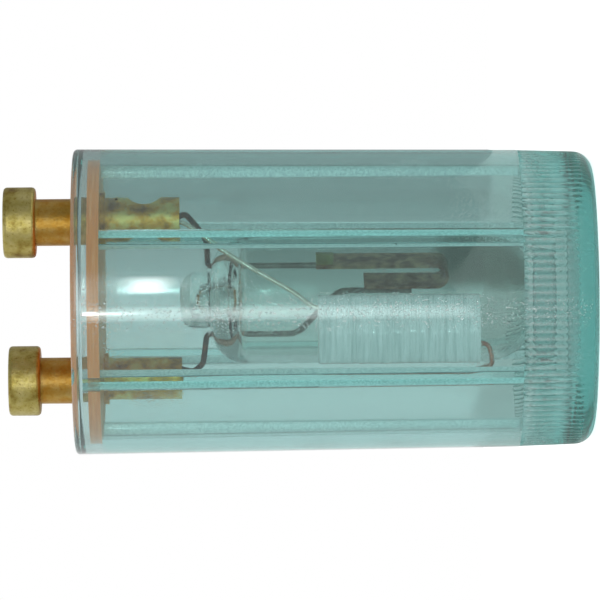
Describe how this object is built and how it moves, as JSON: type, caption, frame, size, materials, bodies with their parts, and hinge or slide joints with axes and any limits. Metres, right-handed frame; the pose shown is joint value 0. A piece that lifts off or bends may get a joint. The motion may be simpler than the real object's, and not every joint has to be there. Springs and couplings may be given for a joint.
{
  "type": "fluorescent starter",
  "caption": "Plug-in starter for a fluorescent lamp: a clear ribbed can with a ridged grip, a glow bulb and a film capacitor inside, and round brass contact pins on a resin-paper disc",
  "frame": {"origin": "centre of the flat face of the closed end, on which the starter stands", "axes": "+Z runs along the can's axis to the pin heads; the pin centres lie on X, with the crimped pin on +X; right-handed"},
  "size_m": [0.021, 0.021, 0.0403],
  "materials": {
    "can": "clear polycarbonate with a blue-green tint, smooth, with fine scratches",
    "base_disc": "tan resin-bonded paper with a faint layered edge",
    "pins": "turned brass, worn and slightly tarnished",
    "bulb_glass": "clear soft glass, darkened at the closed end",
    "dark_wire": "copper-clad wire with a dark oxide",
    "electrodes": "dark nickel-iron wire",
    "bimetal": "bimetal strip with heat colours",
    "bracket": "folded sheet with a yellowed nickel face",
    "film_roll": "metallised film, silvery and finely crinkled",
    "tinned_wire": "bright tinned copper",
    "copper_wire": "dull reddish copper"
  },
  "bodies": {
    "root": {"can": "can", "base_disc": "base_disc", "contact_pin_a": "pins", "contact_pin_b": "pins", "bulb_envelope": "bulb_glass", "bulb_stem": "bulb_glass", "lead_wire_a": "dark_wire", "lead_wire_b": "dark_wire", "bimetal_post": "electrodes", "bimetal_strip": "bimetal", "strip_bracket": "bracket", "fixed_electrode": "electrodes", "capacitor_roll": "film_roll", "capacitor_lead_a": "tinned_wire", "capacitor_lead_b": "copper_wire"}
  },
  "joints": []
}
